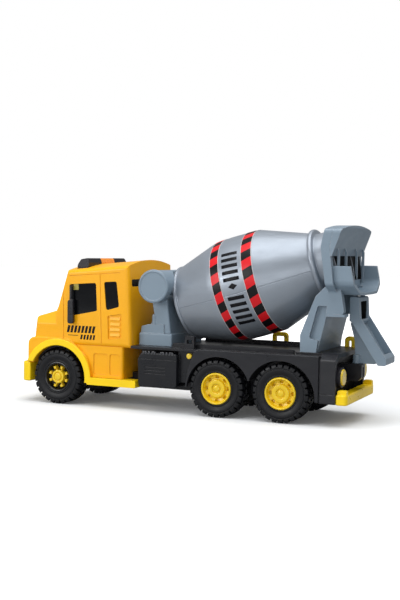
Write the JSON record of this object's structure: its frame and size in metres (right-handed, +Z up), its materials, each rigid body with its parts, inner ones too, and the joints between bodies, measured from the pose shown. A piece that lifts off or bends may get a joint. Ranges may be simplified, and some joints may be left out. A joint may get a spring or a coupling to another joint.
{
  "type": "toy cement mixer",
  "caption": "Toy cement mixer truck with a drum that turns on a tilted axis, rolling wheels, a swinging discharge chute and push buttons on the cab roof.",
  "frame": {"origin": "on the ground, under the middle of the overall length and width", "axes": "+X towards the front bumper, +Y to the truck's left side, +Z up"},
  "size_m": [0.366, 0.1064, 0.1805],
  "materials": {
    "cab_yellow": "moulded gloss, orange-yellow",
    "trim_lemon": "moulded gloss, lemon",
    "rim_yellow": "moulded gloss, warm yellow",
    "tyre_black": "matt moulded tyre",
    "chassis_dark": "satin dark grey",
    "box_black": "gloss black",
    "frame_grey": "satin blue-grey",
    "drum_silver": "silver lacquer on moulded plastic",
    "hazard_sticker": "printed vinyl sticker, red and black bars",
    "window_dark": "gloss black",
    "mirror_black": "satin black",
    "lamp_amber": "clear amber",
    "button_smoke": "dark smoked",
    "steel": "bright plated",
    "board_green": "solder mask"
  },
  "bodies": {
    "truck": {"back_window": "window_dark", "battery_cover": "chassis_dark", "button_cells": "steel", "cab_shell": "cab_yellow", "chassis_base": "chassis_dark", "chassis_screws": "steel", "chute_bracket": "chassis_dark", "deck_body": "chassis_dark", "deck_clips": "chassis_dark", "deck_hoops": "trim_lemon", "fender_trim_left": "trim_lemon", "fender_trim_right": "trim_lemon", "front_bumper": "trim_lemon", "front_pedestal": "frame_grey", "hopper": "frame_grey", "mirror_left": "mirror_black", "mirror_right": "mirror_black", "rear_bulkhead": "chassis_dark", "rear_bumper": "trim_lemon", "rear_pedestal": "frame_grey", "side_box_left": "box_black", "side_box_right": "box_black", "side_markers": "lamp_amber", "sound_board": "board_green", "speaker": "box_black", "tail_lamp_bodies": "box_black", "tail_lamp_lenses": "lamp_amber", "tank_caps": "frame_grey", "water_tank": "frame_grey", "window_insert_left": "window_dark", "window_insert_right": "window_dark", "windscreen": "window_dark"},
    "drum": {"drum_shell_front_side": "drum_silver", "drum_shell_back_side": "drum_silver", "drum_mouth_ring": "drum_silver", "drum_spindle": "frame_grey", "hazard_band_front": "hazard_sticker", "hazard_band_rear": "hazard_sticker"},
    "chute": {"chute_trough": "frame_grey", "chute_pins": "steel"},
    "button_left": {"roof_button_left": "button_smoke"},
    "button_centre": {"roof_button_centre": "lamp_amber"},
    "button_right": {"roof_button_right": "button_smoke"},
    "front_wheels": {"front_axle": "steel", "front_tyre_left": "tyre_black", "front_tyre_right": "tyre_black", "front_wheel_left": "rim_yellow", "front_wheel_right": "rim_yellow"},
    "middle_wheels": {"middle_axle": "steel", "middle_tyre_left": "tyre_black", "middle_tyre_right": "tyre_black", "middle_wheel_left": "rim_yellow", "middle_wheel_right": "rim_yellow"},
    "rear_wheels": {"rear_axle": "steel", "rear_tyre_left": "tyre_black", "rear_tyre_right": "tyre_black", "rear_wheel_left": "rim_yellow", "rear_wheel_right": "rim_yellow"}
  },
  "joints": [
    {"name": "drum_spin", "type": "hinge", "parent": "truck", "child": "drum", "pos_m": [-0.0435, 0, 0.1214], "axis": [-0.9588, 0, 0.284], "continuous": true},
    {"name": "front_axle_spin", "type": "hinge", "parent": "truck", "child": "front_wheels", "pos_m": [0.14, 0, 0.027], "axis": [0, 1, 0], "continuous": true},
    {"name": "middle_axle_spin", "type": "hinge", "parent": "truck", "child": "middle_wheels", "pos_m": [-0.032, 0, 0.027], "axis": [0, 1, 0], "continuous": true},
    {"name": "rear_axle_spin", "type": "hinge", "parent": "truck", "child": "rear_wheels", "pos_m": [-0.095, 0, 0.027], "axis": [0, 1, 0], "continuous": true},
    {"name": "chute_swing", "type": "hinge", "parent": "truck", "child": "chute", "pos_m": [-0.152, 0, 0.05], "axis": [0, 0, 1], "range_deg": [-35, 35]},
    {"name": "button_left_press", "type": "slide", "parent": "truck", "child": "button_left", "axis": [0, 0, -1], "range_m": [0, 0.0015], "stiffness_N_per_m": 400},
    {"name": "button_centre_press", "type": "slide", "parent": "truck", "child": "button_centre", "axis": [0, 0, -1], "range_m": [0, 0.0015], "stiffness_N_per_m": 400},
    {"name": "button_right_press", "type": "slide", "parent": "truck", "child": "button_right", "axis": [0, 0, -1], "range_m": [0, 0.0015], "stiffness_N_per_m": 400}
  ]
}
